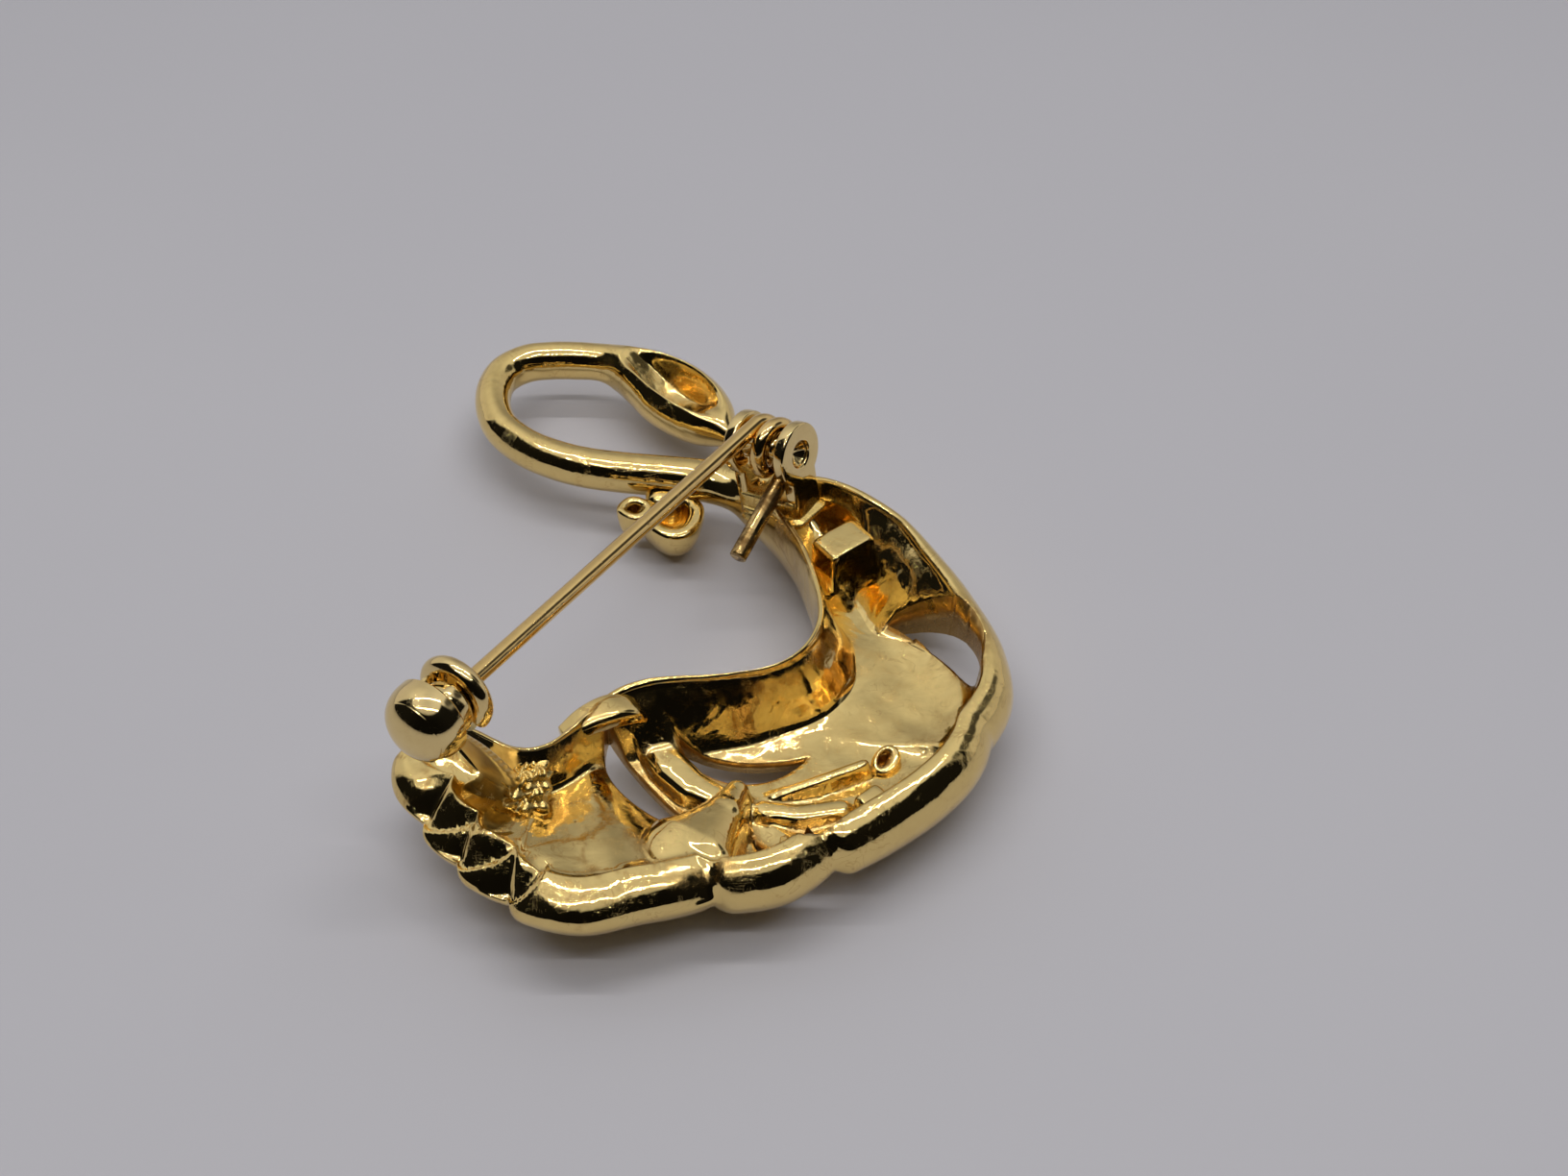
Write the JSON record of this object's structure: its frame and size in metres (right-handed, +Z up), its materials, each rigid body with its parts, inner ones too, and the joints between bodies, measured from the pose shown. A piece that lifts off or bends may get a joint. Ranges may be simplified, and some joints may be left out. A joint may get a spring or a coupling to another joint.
{
  "type": "swan brooch",
  "caption": "Open-backed swan brooch in cast metal, with a hinged pin and a turning safety catch on its back.",
  "frame": {"origin": "bottom centre of the bounding box, on the surface the brooch lies on", "axes": "+Z is up, away from the surface: the brooch lies face down with its back up. +Y runs along the swan, from the tail feathers to the top of the neck loop. +X runs across it, towards the breast."},
  "size_m": [0.03, 0.041, 0.0121],
  "materials": {
    "gold_plate_casting": "polished gold plate on cast brass",
    "gold_plate_rivet": "polished gold plate",
    "gold_plate_wire": "polished gold plate, drawn wire",
    "gold_plate_catch": "polished gold plate"
  },
  "bodies": {
    "casting": {"swan_casting": "gold_plate_casting", "hinge_rivet": "gold_plate_rivet"},
    "pin": {"pin_stem": "gold_plate_wire"},
    "catch": {"catch_rotor": "gold_plate_catch"}
  },
  "joints": [
    {"name": "pin_hinge", "type": "hinge", "parent": "casting", "child": "pin", "pos_m": [0.00295, 0.00732, 0.00751], "axis": [-0.8202, 0.5298, -0.216], "range_deg": [0, 60]},
    {"name": "catch_turn", "type": "hinge", "parent": "casting", "child": "catch", "pos_m": [-0.01088, -0.01167, 0.01012], "axis": [-0.5536, -0.8301, 0.0663], "range_deg": [0, 150]}
  ]
}
